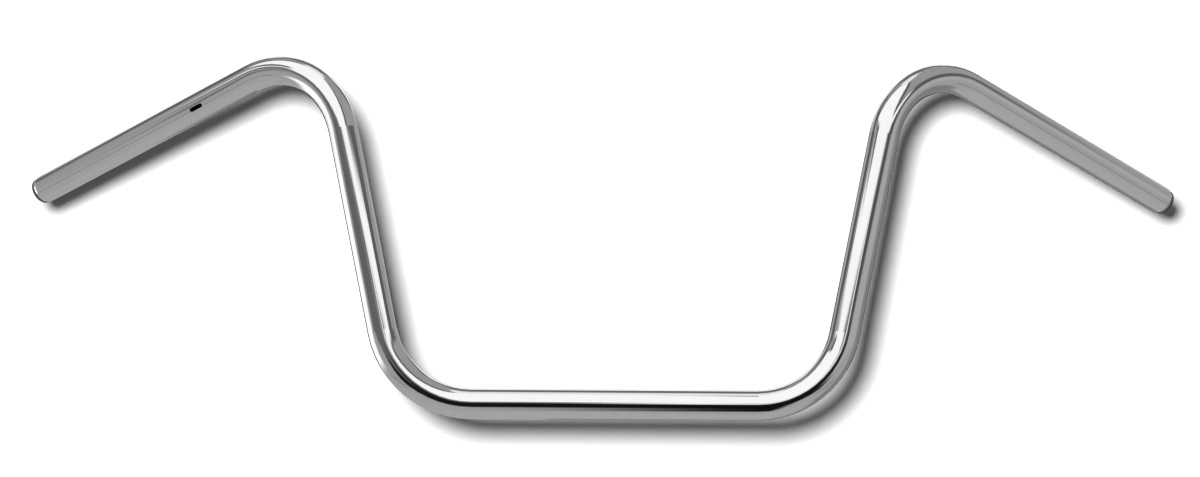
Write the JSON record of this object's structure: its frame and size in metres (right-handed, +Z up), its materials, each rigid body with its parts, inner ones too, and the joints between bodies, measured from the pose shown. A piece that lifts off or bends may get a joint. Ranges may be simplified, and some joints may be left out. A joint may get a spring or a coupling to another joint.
{
  "type": "motorcycle handlebar",
  "caption": "High-rise motorcycle handlebar: one bright-plated round steel tube with a straight clamping length, leaning risers, swept-back grip runs and closed ends",
  "frame": {"origin": "on the tube's axis, at the middle of the straight length that the risers clamp", "axes": "+X along the width of the bar towards the rider's left, +Y back towards the rider, +Z up"},
  "size_m": [0.9276, 0.1818, 0.2665],
  "materials": {
    "chrome_tube": "bright decorative chrome plate, polished, with fine polishing marks",
    "plug_plastic": "black moulded plastic, slightly satin, with faint moulding grain"
  },
  "bodies": {
    "root": {"handlebar_tube": "chrome_tube", "left_end_plug": "plug_plastic", "right_end_plug": "plug_plastic"}
  },
  "joints": []
}
